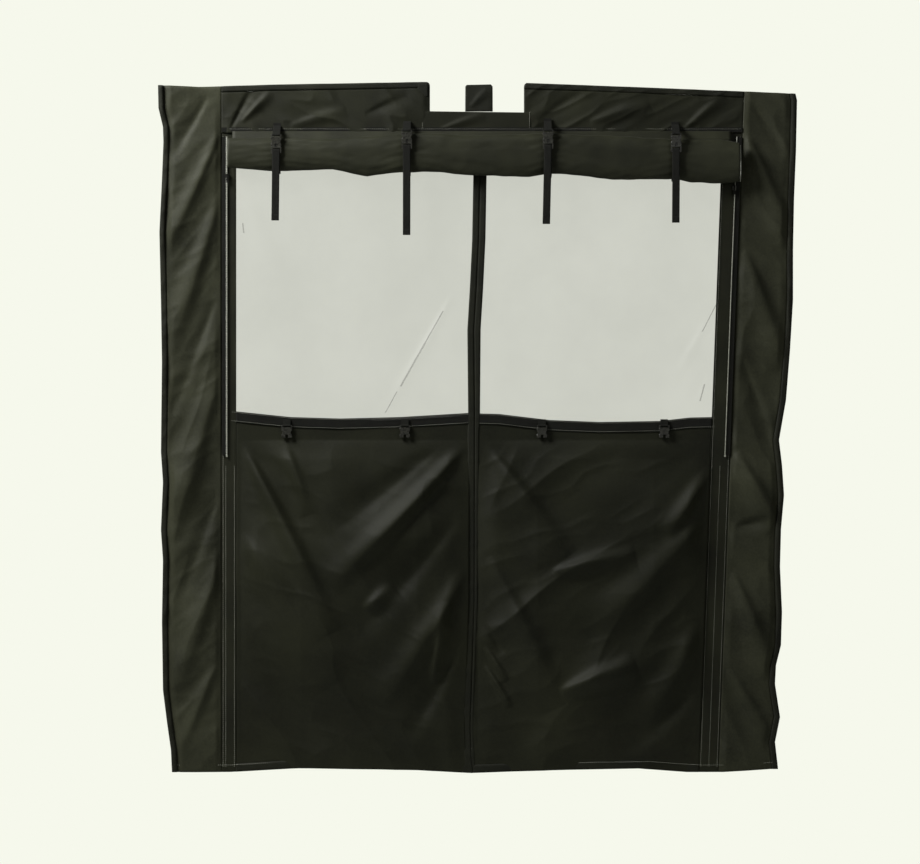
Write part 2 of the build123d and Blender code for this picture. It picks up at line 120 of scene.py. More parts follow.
def meshMaterial(name, strand, cover):  # fine insect mesh: what isn't strand lets the view through
    mat, tree, shader = startMaterial(name, 0.6)
    link = tree.links.new
    coord = addNode(tree, "ShaderNodeTexCoord")
    haze = addNode(tree, "ShaderNodeTexNoise", Scale=3.5, Detail=5.0, Roughness=0.6)
    across = addNode(tree, "ShaderNodeTexWave", Scale=130.0, bands_direction="X")
    along = addNode(tree, "ShaderNodeTexWave", Scale=130.0, bands_direction="Z")
    grid = addNode(tree, "ShaderNodeMath", operation="ADD")
    both = addNode(tree, "ShaderNodeMath", operation="MULTIPLY_ADD")
    both.inputs[1].default_value = 0.08
    alpha = addNode(tree, "ShaderNodeMapRange")
    alpha.inputs["From Min"].default_value = 0.35
    alpha.inputs["From Max"].default_value = 0.85
    alpha.inputs["To Min"].default_value = cover - 0.02
    alpha.inputs["To Max"].default_value = cover + 0.02
    tint = addNode(tree, "ShaderNodeValToRGB")
    tint.color_ramp.elements[0].color = linear(*strand)
    tint.color_ramp.elements[1].color = linear(*[c + 22 for c in strand])
    for texture in (haze, across, along):
        link(coord.outputs["Object"], texture.inputs["Vector"])
    link(across.outputs["Fac"], grid.inputs[0])
    link(along.outputs["Fac"], grid.inputs[1])
    link(grid.outputs[0], both.inputs[0])
    link(haze.outputs["Fac"], both.inputs[2])
    link(both.outputs[0], alpha.inputs["Value"])
    link(alpha.outputs[0], shader.inputs["Alpha"])
    link(haze.outputs["Fac"], tint.inputs[0])
    link(tint.outputs[0], shader.inputs["Base Color"])
    return mat


def hardMaterial(name, dark, light, rough, metal=0.0, coat=0.0):
    mat, tree, shader = startMaterial(name, rough)
    link = tree.links.new
    coord = addNode(tree, "ShaderNodeTexCoord")
    grain = addNode(tree, "ShaderNodeTexNoise", Scale=160.0, Detail=5.0)
    ramp = addNode(tree, "ShaderNodeValToRGB")
    ramp.color_ramp.elements[0].color = linear(*dark)
    ramp.color_ramp.elements[0].position = 0.35
    ramp.color_ramp.elements[1].color = linear(*light)
    ramp.color_ramp.elements[1].position = 0.8
    wear = addNode(tree, "ShaderNodeMapRange")
    wear.inputs["To Min"].default_value = rough - 0.1
    wear.inputs["To Max"].default_value = rough + 0.12
    relief = addNode(tree, "ShaderNodeBump", Strength=0.12, Distance=0.0004)
    link(coord.outputs["Object"], grain.inputs["Vector"])
    link(grain.outputs["Fac"], ramp.inputs[0])
    link(grain.outputs["Fac"], wear.inputs["Value"])
    link(grain.outputs["Fac"], relief.inputs["Height"])
    link(ramp.outputs[0], shader.inputs["Base Color"])
    link(wear.outputs[0], shader.inputs["Roughness"])
    link(relief.outputs[0], shader.inputs["Normal"])
    shader.inputs["Metallic"].default_value = metal
    shader.inputs["Coat Weight"].default_value = coat
    return mat


finish = {
    "cloth": clothMaterial("coated cloth", (9, 10, 4), (24, 25, 14), rough=0.62, sheen=0.02),
    # painted light: the side flaps get a lighter copy of the coated cloth, standing in for the key light that falls
    # on them
    "flap": clothMaterial("side flap cloth painted lighter", (17, 18, 9), (40, 41, 29), rough=0.6, sheen=0.04, mottle=4.0),
    # painted shade: the lower panels get a darker copy of the coated cloth, standing in for the shade towards the
    # bottom
    "lower": clothMaterial("lower panel cloth painted darker", (7, 8, 2), (22, 23, 12), rough=0.6, sheen=0.02, mottle=3.0),
    "shade_cloth": clothMaterial("shade cloth", (15, 16, 8), (31, 32, 21), rough=0.58, sheen=0.03, mottle=9.0),
    "hem": clothMaterial("hem tape", (8, 9, 4), (20, 21, 12), rough=0.66, sheen=0.02, weave=1500, bump=0.35),
    "webbing": clothMaterial("webbing", (3, 3, 1), (10, 11, 6), rough=0.7, sheen=0.01, weave=2400, bump=0.5,
                             mottle=30.0),
    "mesh": meshMaterial("insect mesh", (26, 27, 22), 0.21),
    "magnet": hardMaterial("magnet", (120, 120, 122), (150, 150, 152), 0.3, metal=1.0),
    "buckle": hardMaterial("moulded buckle", (16, 16, 12), (34, 34, 28), 0.26, coat=0.6),
    "zip_nylon": hardMaterial("nylon teeth", (84, 85, 76), (128, 129, 118), 0.4),
    "zip_metal": hardMaterial("black slider", (30, 30, 27), (64, 64, 58), 0.3, metal=0.7),
    "thread": hardMaterial("stitching", (96, 97, 86), (150, 151, 138), 0.6),
}
slotOf = {s["node"]: s["material_slot"] for s in frame["record"]["subparts"]}
for nodeName, obj in frame["nodes"].items():
    obj.data.materials.clear()
    obj.data.materials.append(finish[slotOf[nodeName]])
print("materials made")


# ---- shared shapes
def place(obj, body, cad=()):
    if cad:
        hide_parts(*cad)
    if body:
        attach(obj, body)
    return obj


def meshObject(name, points, faces, mat, smooth=True):
    data = bpy.data.meshes.new(name)
    data.from_pydata([tuple(p) for p in points], [], faces)
    data.materials.append(mat)
    data.polygons.foreach_set("use_smooth", [smooth] * len(data.polygons))
    obj = bpy.data.objects.new(name, data)
    bpy.context.scene.collection.objects.link(obj)
    return obj


def slabFaces(nu, nv):  # faces of a closed slab whose front grid comes first, then its back grid
    at = lambda i, j, k: k * nu * nv + j * nu + i
    faces = []
    for j in range(nv - 1):
        for i in range(nu - 1):
            faces.append((at(i, j, 0), at(i + 1, j, 0), at(i + 1, j + 1, 0), at(i, j + 1, 0)))
            faces.append((at(i, j, 1), at(i, j + 1, 1), at(i + 1, j + 1, 1), at(i + 1, j, 1)))
    for i in range(nu - 1):
        faces.append((at(i, 0, 0), at(i, 0, 1), at(i + 1, 0, 1), at(i + 1, 0, 0)))
        faces.append((at(i, nv - 1, 0), at(i + 1, nv - 1, 0), at(i + 1, nv - 1, 1), at(i, nv - 1, 1)))
    for j in range(nv - 1):
        faces.append((at(0, j, 0), at(0, j + 1, 0), at(0, j + 1, 1), at(0, j, 1)))
        faces.append((at(nu - 1, j, 0), at(nu - 1, j, 1), at(nu - 1, j + 1, 1), at(nu - 1, j + 1, 0)))
    return faces


def line(points, at):  # value of a line of (place, value) points
    places, values = zip(*sorted(points))
    return np.interp(at, places, values)


def clothPiece(name, spec, mat, folds=()):
    # left and right are lines of (z, x), bottom and top are lines of (x, z); depth is forward of the back plane
    nu, nv = spec["grid"]
    s, t = np.meshgrid(np.linspace(0, 1, nu), np.linspace(0, 1, nv))
    x0, x1 = np.mean([p[1] for p in spec["left"]]), np.mean([p[1] for p in spec["right"]])
    flatX = x0 + (x1 - x0) * s
    z = line(spec["bottom"], flatX) * (1 - t) + line(spec["top"], flatX) * t
    x = line(spec["left"], z) * (1 - s) + line(spec["right"], z) * s
    depth = foldDepth(x, z, folds) + ripple(x, z, spec.get("ripple", 0.0012), spec.get("seed", 0))
    for creases in spec.get("crumples", ()):
        depth = depth + crumple(x, z, creases)
    calm = np.minimum(1, np.minimum(s, 1 - s) * (x1 - x0) / spec.get("calm", 0.03))
    depth = depth * (0.12 + 0.88 * calm * calm * (3 - 2 * calm))
    if spec.get("quiet"):  # flat near its top, under the buckles
        depth = depth * np.clip((spec["quiet"] - z) / 0.05, 0, 1)
    if spec.get("extra"):
        depth = depth + spec["extra"](x, z)
    back = spec["back"]
    thick = spec["thick"]
    edge = np.minimum(np.minimum(s, 1 - s) * (x1 - x0), np.minimum(t, 1 - t) * abs(np.ptp(z)))
    thick = thick * (0.45 + 0.55 * np.clip(edge / 0.003, 0, 1) ** 0.5)
    front = np.stack([x, -(back + depth + thick), z], -1).reshape(-1, 3)
    rear = np.stack([x, -(back + depth), z], -1).reshape(-1, 3)
    return meshObject(name, np.vstack([front, rear]), slabFaces(nu, nv), mat)


def foldDepth(x, z, folds):
    # each fold is (x0, z0, x1, z1, width, height): a ridge, or with a negative height a valley; it fades at its ends
    depth = np.zeros_like(x)
    for x0, z0, x1, z1, width, height in folds:
        dx, dz = x1 - x0, z1 - z0
        size = math.hypot(dx, dz)
        along = ((x - x0) * dx + (z - z0) * dz) / size**2
        across = ((x - x0) * dz - (z - z0) * dx) / size
        bend = across + 0.12 * size * along * (1 - along) * 0.5
        fade = np.clip(1 - (2 * along - 1) ** 2, 0, 1) ** 0.8
        width = width * (0.55 + 0.9 * np.clip(along, 0, 1))  # a fold opens out from its first point
        sharp = np.where(bend > 0, 1.0, 0.6)
        depth += height * fade * np.exp(-((bend / (width * sharp)) ** 2))
    return depth


def ripple(x, z, height, seed):  # slow unevenness of hanging cloth, the same each run
    wave = np.zeros_like(x)
    rng = np.random.default_rng(seed)
    for i in range(9):
        angle, scale, phase = rng.uniform(0, math.pi), rng.uniform(7, 40), rng.uniform(0, 6.28)
        wave += np.sin((x * math.cos(angle) + z * math.sin(angle)) * scale + phase) * height * (14 / (scale + 8))
    return wave


def crumple(x, z, spec):
    # sharp small creases that run along one direction, from (angle, along, across, height, seed)
    angle, along, across, height, seed = spec
    a = (x * math.cos(angle) + z * math.sin(angle)) * along
    b = (-x * math.sin(angle) + z * math.cos(angle)) * across
    value = [noise.noise(Vector((p, q, seed))) + 0.4 * noise.noise(Vector((p * 2.3, q * 2.1, seed + 9)))
             for p, q in zip(a.flat, b.flat)]
    ridge = 1 - np.minimum(1, 2.6 * np.abs(np.array(value).reshape(x.shape)))
    return height * ridge**1.5


def instanceTree():  # a row of small pieces along a curve, turned to follow it
    tree = bpy.data.node_groups.new("rowOnPath", "GeometryNodeTree")
    face = tree.interface
    face.new_socket("Geometry", in_out="INPUT", socket_type="NodeSocketGeometry")
    face.new_socket("Geometry", in_out="OUTPUT", socket_type="NodeSocketGeometry")
    for label in ("Spacing", "Length", "Width", "Height"):
        face.new_socket(label, in_out="INPUT", socket_type="NodeSocketFloat")
    face.new_socket("Material", in_out="INPUT", socket_type="NodeSocketMaterial")
    new, link = tree.nodes.new, tree.links.new
    source, result = new("NodeGroupInput"), new("NodeGroupOutput")
    points = new("GeometryNodeCurveToPoints")
    points.mode = "LENGTH"
    bead = new("GeometryNodeMeshUVSphere")
    bead.inputs["Segments"].default_value = 6
    bead.inputs["Rings"].default_value = 4
    bead.inputs["Radius"].default_value = 0.5
    size = new("ShaderNodeCombineXYZ")
    instance = new("GeometryNodeInstanceOnPoints")
    real = new("GeometryNodeRealizeInstances")
    paint = new("GeometryNodeSetMaterial")
    link(source.outputs["Geometry"], points.inputs["Curve"])
    link(source.outputs["Spacing"], points.inputs["Length"])
    link(points.outputs["Points"], instance.inputs["Points"])
    link(points.outputs["Rotation"], instance.inputs["Rotation"])
    link(bead.outputs["Mesh"], instance.inputs["Instance"])
    link(source.outputs["Width"], size.inputs[0])
    link(source.outputs["Height"], size.inputs[1])
    link(source.outputs["Length"], size.inputs[2])
    link(size.outputs[0], instance.inputs["Scale"])
    link(instance.outputs[0], real.inputs[0])
    link(real.outputs[0], paint.inputs["Geometry"])
    link(source.outputs["Material"], paint.inputs["Material"])
    link(paint.outputs[0], result.inputs[0])
    return tree


rowTree = instanceTree()


def rowOnPath(name, paths, mat, spacing, length, width, height):
    curve = bpy.data.curves.new(name, "CURVE")
    curve.dimensions = "3D"
    for path in paths:
        spline = curve.splines.new("POLY")
        spline.points.add(len(path) - 1)
        for point, place3 in zip(spline.points, path):
            point.co = (*place3, 1)
    obj = bpy.data.objects.new(name, curve)
    bpy.context.scene.collection.objects.link(obj)
    mod = obj.modifiers.new("row", "NODES")
    mod.node_group = rowTree
    ids = {i.name: i.identifier for i in rowTree.interface.items_tree if i.in_out == "INPUT"}
    for label, value in (("Spacing", spacing), ("Length", length), ("Width", width), ("Height", height)):
        mod[ids[label]] = value
    mod[ids["Material"]] = mat
    evaluated = obj.evaluated_get(bpy.context.evaluated_depsgraph_get())
    data = bpy.data.meshes.new_from_object(evaluated)
    obj.modifiers.clear()
    bpy.data.objects.remove(obj)
    made = bpy.data.objects.new(name, data)
    bpy.context.scene.collection.objects.link(made)
    return made


def band(name, spec, mat):  # a flat strip of webbing along a path of (x, depth, z) points, with ribbed edges
    path = np.array(spec["path"], float)
    step = np.r_[0, np.cumsum(np.linalg.norm(np.diff(path, axis=0), axis=1))]
    count = max(2, int(step[-1] / spec.get("pitch", 0.003)))
    at = np.linspace(0, step[-1], count)
    mid = np.stack([np.interp(at, step, path[:, k]) for k in range(3)], -1)
    tangent = np.gradient(mid, axis=0)
    tangent /= np.linalg.norm(tangent, axis=1)[:, None]
    side = np.array([1.0, 0, 0])
    normal = np.cross(tangent, side)
    normal /= np.linalg.norm(normal, axis=1)[:, None]
    across = np.linspace(-0.5, 0.5, 9)
    front, rear = [], []
    for i, (m, n) in enumerate(zip(mid, normal)):
        rib = 0.00012 * (1 if i % 2 else -1)
        for k, a in enumerate(across):
            lip = spec["thick"] / 2 * (1 - 0.35 * (abs(a) > 0.45)) + rib
            p = m + side * a * spec["width"]
            front.append(p + n * lip)
            rear.append(p - n * lip)
    points = np.array(front + rear)
    points[:, 1] *= -1
    obj = meshObject(name, points, slabFaces(len(across), count), mat)
    fixNormals(obj)
    return obj


def fixNormals(obj):
    bm = bmesh.new()
    bm.from_mesh(obj.data)
    bmesh.ops.recalc_face_normals(bm, faces=bm.faces)
    bm.to_mesh(obj.data)
    bm.free()
    return obj


hemZ, seamZ = -1.73, -0.027
leftCoil, rightCoil, rightLean = -0.669, 0.693, 0.064


def coilX(side, z):  # the line of a zip coil: the left one hangs straight, the right one leans in towards the hem
    if side == "left":
        return leftCoil + 0 * z
    return rightCoil - rightLean * (seamZ - z) / (seamZ - hemZ)


heights = np.linspace(hemZ, 0.11, 24)
# the cloth's outer edges are lines of (z, x), its top edge and its hem are lines of (x, z)
outerLeft = [(0.1068, -0.8531), (0.0374, -0.8517), (-0.0134, -0.8397), (-0.0534, -0.8384),
             (-0.1549, -0.8424), (-0.2937, -0.8491), (-0.4806, -0.8451), (-0.6408, -0.8424),
             (-0.8811, -0.8451), (-0.9612, -0.8397), (-1.0894, -0.8451), (-1.1695, -0.8397),
             (-1.335, -0.8424), (-1.5166, -0.8397), (-1.602, -0.829), (-1.6768, -0.8184),
             (-1.7355, -0.8157)]
outerRight = [(0.0748, 0.8491), (0.0587, 0.8531), (-0.0748, 0.8504), (-0.2083, 0.8451), (-0.3418, 0.8424),
              (-0.4753, 0.8424), (-0.6088, 0.8344), (-0.7423, 0.8237), (-0.8491, 0.805), (-0.9158, 0.813),
              (-0.9959, 0.8184), (-1.0867, 0.8103), (-1.1882, 0.8077), (-1.3083, 0.813), (-1.3964, 0.8103),
              (-1.4498, 0.797), (-1.5005, 0.7943), (-1.5887, 0.8077), (-1.6554, 0.7943), (-1.7248, 0.8023)]
topLine = [(-0.8531, 0.0988), (-0.7396, 0.0935), (-0.534, 0.1001), (-0.1388, 0.1068), (0.1282, 0.1041),
           (0.4592, 0.0908), (0.833, 0.0748), (0.8517, 0.0641)]
hemLine = [(-0.817, -1.7355), (-0.6595, -1.7355), (-0.4726, -1.7248), (-0.1522, -1.7302),
           (-0.0107, -1.7382), (0.2189, -1.7302), (0.4592, -1.7262), (0.5927, -1.7355), (0.6862, -1.7355),
           (0.801, -1.7275)]
rims = {"left": outerLeft, "right": outerRight}
sign = {"left": -1, "right": 1}
foldOut, railIn = 0.015, {"left": 0.024, "right": 0.038}  # how far the rail reaches outwards and inwards of the coil
railLip = 0.0008  # the rail's cloth laps the flap and the leaf by this
hemWide, turnedHem = 0.016, 0.022


def beside(side, out):  # a line of (z, x) that runs beside the coil
    return [(z, float(coilX(side, z)) + sign[side] * out) for z in heights]


def inset(edge, amount):
    return [(z, x + amount) for z, x in edge]


# ---- side flaps: folds given as (x, z, x, z, width, height) from the fold line outwards
flapFolds = {
    "left": [(-0.69, -0.03, -0.84, -0.35, 0.022, 0.0114), (-0.69, -0.20, -0.83, -0.62, 0.03, 0.0133),
             (-0.70, -0.47, -0.83, -0.80, 0.02, -0.0065), (-0.69, -0.66, -0.83, -1.12, 0.035, 0.0152),
             (-0.69, -0.98, -0.81, -1.30, 0.025, -0.0078), (-0.69, -1.18, -0.81, -1.52, 0.03, 0.0133),
             (-0.70, -1.45, -0.80, -1.68, 0.02, 0.0095), (-0.72, 0.07, -0.82, -0.10, 0.015, -0.0052)],
    "right": [(0.72, -0.04, 0.83, -0.30, 0.025, 0.0114), (0.71, -0.34, 0.82, -0.66, 0.03, 0.0133),
              (0.70, -0.62, 0.80, -0.92, 0.022, -0.0078), (0.69, -0.88, 0.80, -1.09, 0.03, 0.0171),
              (0.69, -1.08, 0.79, -1.06, 0.018, -0.0078), (0.68, -1.20, 0.79, -1.48, 0.028, 0.0133),
              (0.67, -1.46, 0.79, -1.66, 0.022, 0.0114), (0.73, 0.05, 0.83, -0.09, 0.015, -0.0052)],
}
for side in sign:
    s = sign[side]
    folded, rim = beside(side, foldOut), rims[side]
    inner = inset(rim, -s * hemWide)
    spec = {"grid": (44, 300), "bottom": hemLine, "top": topLine, "back": 0.0, "thick": 0.0014, "ripple": 0.0017,
            "seed": 3 + s, "calm": 0.018,
            "crumples": [(s * -1.05, 2.0, 7.0, 0.006, 1.0 + s), (s * -0.6, 6, 18, 0.0016, 4.0 + s)]}
    spec["left"], spec["right"] = (inner, folded) if side == "left" else (folded, inner)
    flap = clothPiece(f"{side}_side_flap_cloth", spec, finish["flap"], flapFolds[side])
    hem = dict(spec, grid=(7, 300), back=0.0, thick=0.0034, ripple=0.0007, calm=0.004)
    hem["left"], hem["right"] = (rim, inner) if side == "left" else (inner, rim)
    hemPiece = clothPiece(f"{side}_side_flap_magnet_hem", hem, finish["hem"])
    place(flap, None, (f"{side}_flap",))
    place(hemPiece, None, (f"{side}_flap_hem", f"{side}_flap_magnets"))
    for piece in (flap, hemPiece):
        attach(piece, f"{side}_side_flap")
print("side flaps made")

# ---- header
headerFolds = [(-0.63, 0.00, -0.55, 0.08, 0.012, 0.0076), (-0.66, -0.02, -0.60, 0.09, 0.010, -0.0052),
               (-0.50, -0.01, -0.35, 0.03, 0.018, 0.0057), (0.30, 0.0, 0.46, 0.05, 0.018, 0.0076),
               (0.55, -0.02, 0.66, 0.07, 0.014, 0.0076), (0.16, 0.0, 0.28, 0.08, 0.02, -0.0039),
               (-0.30, 0.02, -0.18, 0.07, 0.015, -0.0039)]
seamLine = [(-0.70, -0.030), (0.72, -0.030)]
headerParts = {
    "left": {"left": beside("left", foldOut), "grid": (200, 40),
             "right": [(-1, -0.127), (0.098, -0.127), (0.1035, -0.129), (0.1065, -0.134)]},
    "right": {"left": [(-1, 0.124), (0.095, 0.124), (0.101, 0.126), (0.1040, 0.131)], "grid": (200, 40),
              "right": beside("right", foldOut)},
}
for side, spec in headerParts.items():
    spec.update(bottom=seamLine, top=[(x, z - hemWide) for x, z in topLine], back=0.0, thick=0.0015, ripple=0.0011,
                seed=11 + sign[side], calm=0.02,
                crumples=[(0.5 * sign[side], 5, 16, 0.003, 31.0 + sign[side])])
    panel = clothPiece(f"header_{side}_cloth", spec, finish["cloth"], headerFolds)
    place(panel, "surround", (f"header_{side}",))
    hem = dict(spec, bottom=spec["top"], top=topLine, grid=(200, 7), thick=0.0034, ripple=0.0005)
    place(clothPiece(f"header_{side}_hem", hem, finish["hem"]), "surround",
          ("header_hem", "header_magnets") if side == "left" else ())
bandSpec = {"left": [(-1, -0.152), (1, -0.152)], "right": [(-1, 0.143), (1, 0.143)], "bottom": seamLine,
            "top": [(-0.2, 0.0295), (0.2, 0.0245)], "grid": (100, 24), "back": 0.0008, "thick": 0.0016,
            "ripple": 0.0009, "seed": 21, "calm": 0.01}
headerBand = clothPiece("header_band_cloth", bandSpec, finish["cloth"], [(-0.1, -0.02, 0.02, 0.02, 0.012, 0.0038)])
place(headerBand, "surround", ("header_band",))
patch = dict(bandSpec, left=[(-1, -0.160), (1, -0.160)], right=[(-1, -0.132), (1, -0.132)], grid=(12, 16),
             bottom=[(-1, 0.067), (1, 0.067)], top=[(-1, 0.103), (1, 0.103)], back=0.0036, thick=0.0010)
place(clothPiece("header_corner_patch", patch, finish["hem"]), "surround")
tabSpec = {"left": [(0, -0.033), (0.095, -0.0325), (0.101, -0.027)], "bottom": [(-1, 0.0278), (1, 0.0278)],
           "right": [(0, 0.041), (0.095, 0.0405), (0.101, 0.035)], "top": [(-0.033, 0.099), (0.041, 0.1005)],
           "grid": (30, 30), "back": 0.0, "thick": 0.0018, "ripple": 0.0008, "seed": 5, "calm": 0.01}
latchTab = clothPiece("latch_tab_cloth", tabSpec, finish["hem"], [(-0.02, 0.04, 0.03, 0.09, 0.012, 0.0038)])
place(latchTab, "latch_tab", ("top_tab",))
print("header made")

# ---- rails with the zips
for side in sign:
    s = sign[side]
    spec = {"grid": (16, 300), "bottom": hemLine, "top": [(-1, seamZ + 0.001), (1, seamZ + 0.001)], "back": 0.0,
            "thick": 0.0016, "ripple": 0.0006, "seed": 31 + s, "calm": 0.006}
    outer, inner = beside(side, foldOut + railLip), beside(side, -railIn[side] - railLip)
    spec["left"], spec["right"] = (outer, inner) if side == "left" else (inner, outer)
    spec["extra"] = lambda x, z: -0.0012 + 0 * x
    rail = clothPiece(f"{side}_rail_cloth", spec, finish["cloth"])
    place(rail, "surround", (f"{side}_rail",))
    teeth = [[(float(coilX(side, z)), -0.0064, z) for z in (-0.041, -0.888)]]
    row = rowOnPath(f"{side}_zip_teeth", teeth, finish["zip_nylon"], 0.0046, 0.0026, 0.0056, 0.0018)
    place(row, "surround")
print("rails made")

# ---- leaves: mesh, waistband, lower panel and the strip with magnets where they meet
leafFolds = {
    "left": [(-0.647, -0.83, -0.38, -1.36, 0.028, 0.0209), (-0.60, -0.84, -0.34, -1.22, 0.05, -0.0091),
             (-0.02, -0.85, -0.40, -1.24, 0.030, 0.0228), (-0.10, -0.86, -0.43, -1.12, 0.035, -0.0078),
             (-0.05, -1.05, -0.36, -1.40, 0.045, -0.0117), (-0.02, -1.18, -0.26, -1.56, 0.034, 0.0171),
             (-0.03, -1.36, -0.20, -1.66, 0.03, -0.0091), (-0.63, -1.10, -0.38, -1.50, 0.045, 0.0133),
             (-0.62, -1.34, -0.42, -1.68, 0.04, -0.0078), (-0.52, -0.84, -0.45, -1.05, 0.02, 0.0076),
             (-0.30, -1.30, -0.22, -1.24, 0.03, 0.0152), (-0.12, -1.50, -0.08, -1.28, 0.022, 0.0133)],
    "right": [(0.645, -0.90, 0.50, -1.10, 0.022, 0.019), (0.64, -1.02, 0.30, -1.36, 0.04, 0.0152),
              (0.02, -0.86, 0.24, -1.16, 0.035, 0.0171),
              (0.20, -1.20, 0.42, -1.15, 0.028, 0.0171), (0.22, -1.52, 0.42, -1.44, 0.03, 0.019),
              (0.03, -1.16, 0.22, -1.56, 0.04, 0.0152), (0.02, -1.40, 0.08, -1.49, 0.010, 0.0095),
              (0.02, -1.45, 0.09, -1.56, 0.010, 0.0095), (0.02, -1.34, 0.07, -1.42, 0.009, -0.0052),
              (0.62, -1.30, 0.44, -1.62, 0.035, 0.0152), (0.60, -1.50, 0.36, -1.70, 0.04, -0.0078)],
}
meshFolds = {
    "left": [(-0.06, -0.45, -0.25, -0.78, 0.012, 0.0076), (-0.62, -0.20, -0.50, -0.50, 0.05, 0.0076)],
    "right": [(0.645, -0.47, 0.52, -0.70, 0.012, 0.0076), (0.62, -0.66, 0.56, -0.76, 0.01, -0.0039),
              (0.10, -0.20, 0.30, -0.60, 0.05, 0.0076)],
}
pleats = {  # each is (x, z, x, z, width)
    "left": [(-0.092, -0.505, -0.140, -0.590, 0.004), (-0.140, -0.590, -0.205, -0.706, 0.0055),
             (-0.215, -0.720, -0.246, -0.776, 0.003), (-0.627, -0.270, -0.624, -0.296, 0.0035)],
    "right": [(0.646, -0.470, 0.600, -0.560, 0.003), (0.606, -0.700, 0.594, -0.745, 0.004)],
}
waistTop = {
    "left": [(-0.6542, -0.7716), (-0.4993, -0.7877), (-0.3658, -0.7917), (-0.2056, -0.7877),
             (-0.0267, -0.777)],
    "right": [(0.008, -0.7783), (0.0587, -0.7796), (0.1922, -0.7957), (0.3257, -0.801), (0.4859, -0.7983),
              (0.566, -0.789), (0.6328, -0.7877)],
}
# (z, x) of the line that the leaves meet at, and (z, width) of the strip beside it
meeting = [(0.0, 0.007), (-0.15, 0.0065), (-0.315, 0.0035), (-0.444, -0.0027), (-0.555, -0.0093), (-0.80, -0.007),
           (-1.28, -0.008), (-1.62, -0.019), (-1.70, -0.016), (-1.75, -0.010)]
stripWide = {"left": [(0.0, 0.0178), (-0.80, 0.0178), (-0.85, 0.021), (-1.75, 0.020)],
             "right": [(0.0, 0.0178), (-0.76, 0.0178), (-0.85, 0.0085), (-1.75, 0.0075)]}
tuck, flangeLap, webbingHigh = 0.006, 0.004, 0.029


def magnetAt(x, z):  # the closing strip swells a little over each magnet
    return 0.0007 * np.clip(1.3 - 1.3 * np.abs(((z + 1.70) % 0.112) / 0.014 - 1.0), 0, 1)


def belly(x, z):  # the lower cloth hangs forward between its edges
    fall = np.sin(np.clip((-0.85 - z) / 0.86, 0, 1) ** 0.75 * math.pi)
    return 0.022 * fall * np.clip(np.minimum(np.abs(x), 0.63 - np.abs(x)) / 0.16, 0, 1) ** 0.8


def ends(side, outer, inner):  # left and right edges from the edge at the rail and the edge at the middle
    return {"left": outer, "right": inner} if side == "left" else {"left": inner, "right": outer}


for side in sign:
    s = sign[side]
    hinge = beside(side, -railIn[side])
    strip = [(z, x + s * float(line(stripWide[side], z))) for z, x in meeting + [(-0.83, -0.0071)]]
    top = [(-1, seamZ - 0.0005), (1, seamZ - 0.0005)]
    under = [(x, z - webbingHigh) for x, z in waistTop[side]]
    leaf = f"{side}_leaf"
    tucked = inset(strip, -s * tuck)  # the cloth's edge lies inside the closing strip
    common = dict(ends(side, hinge, tucked), calm=0.05)
    meshSpec = dict(common, grid=(110, 130), bottom=[(x, z - 0.008) for x, z in waistTop[side]], top=top, back=0.0012,
                    thick=0.0006, ripple=0.0016, seed=41 + s)
    mesh = clothPiece(f"{side}_mesh_window", meshSpec, finish["mesh"], meshFolds[side])
    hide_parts(f"{side}_mesh")
    webbingSpec = dict(common, grid=(180, 9), bottom=under, top=waistTop[side], back=0.0018, thick=0.0018,
                       ripple=0.0006, seed=51 + s)
    webbing = clothPiece(f"{side}_waist_webbing", webbingSpec, finish["webbing"])
    lowerSpec = dict(common, grid=(190, 260), bottom=hemLine, top=[(x, z + 0.006) for x, z in under], back=0.0,
                     thick=0.0014, ripple=0.0026, seed=61 + s, calm=0.06, quiet=-0.85, extra=belly,
                     crumples=[(s * 0.9, 1.4, 4.2, 0.008, 20.0 + s), (s * 0.4, 4.5, 11, 0.0016, 24.0 + s)])
    lower = clothPiece(f"{side}_lower_cloth", lowerSpec, finish["lower"], leafFolds[side])
    footSpec = dict(common, grid=(180, 6), bottom=hemLine, top=[(x, z + turnedHem) for x, z in hemLine], back=0.0012,
                    thick=0.0020, ripple=0.0008, seed=62 + s)
    foot = clothPiece(f"{side}_lower_turned_hem", footSpec, finish["hem"])
    ribbon = dict(ends(side, strip, [(z, x + s * 0.00015) for z, x in meeting]), grid=(9, 620), bottom=hemLine,
                  top=[(-1, seamZ - 0.004), (1, seamZ - 0.004)], back=0.0003, thick=0.0036, ripple=0.0005, seed=71,
                  calm=0.004, extra=magnetAt)
    closing = clothPiece(f"{side}_closing_ribbon", ribbon, finish["hem"])
    for piece, slotName, cad in ((webbing, "webbing", ("waistband",)), (lower, "cloth", ("lower_panel",)),
                                 (foot, "cloth", ("lower_hem",)),
                                 (closing, "cloth", ("closing_strip", "closing_magnets"))):
        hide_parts(*[f"{side}_{node}" for node in cad])
    bending = [mesh, closing]
    for k, (x0, z0, x1, z1, wide) in enumerate(pleats[side]):  # small pleats, where the mesh lies double
        route = [(x0 + (x1 - x0) * t, 0.0020 + 0.001 * t, z0 + (z1 - z0) * t) for t in (0, 0.5, 1)]
        pleatSpec = {"path": route, "width": wide, "thick": 0.0005, "pitch": 0.008}
        pleat = band(f"{side}_mesh_pleat_{k}", pleatSpec, finish["mesh"])
        bending.append(pleat)
    if side == "right":  # the right strip reaches a little way behind the left one
        flange = dict(ribbon, left=inset(meeting, -flangeLap), right=inset(meeting, flangeLap), back=-0.0012,
                      thick=0.0010)
        bending.append(clothPiece(f"{side}_closing_flange", flange, finish["hem"]))
    for piece in (webbing, lower, foot):
        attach(piece, leaf)
    for piece in bending:
        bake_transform(piece)
print("leaves made")

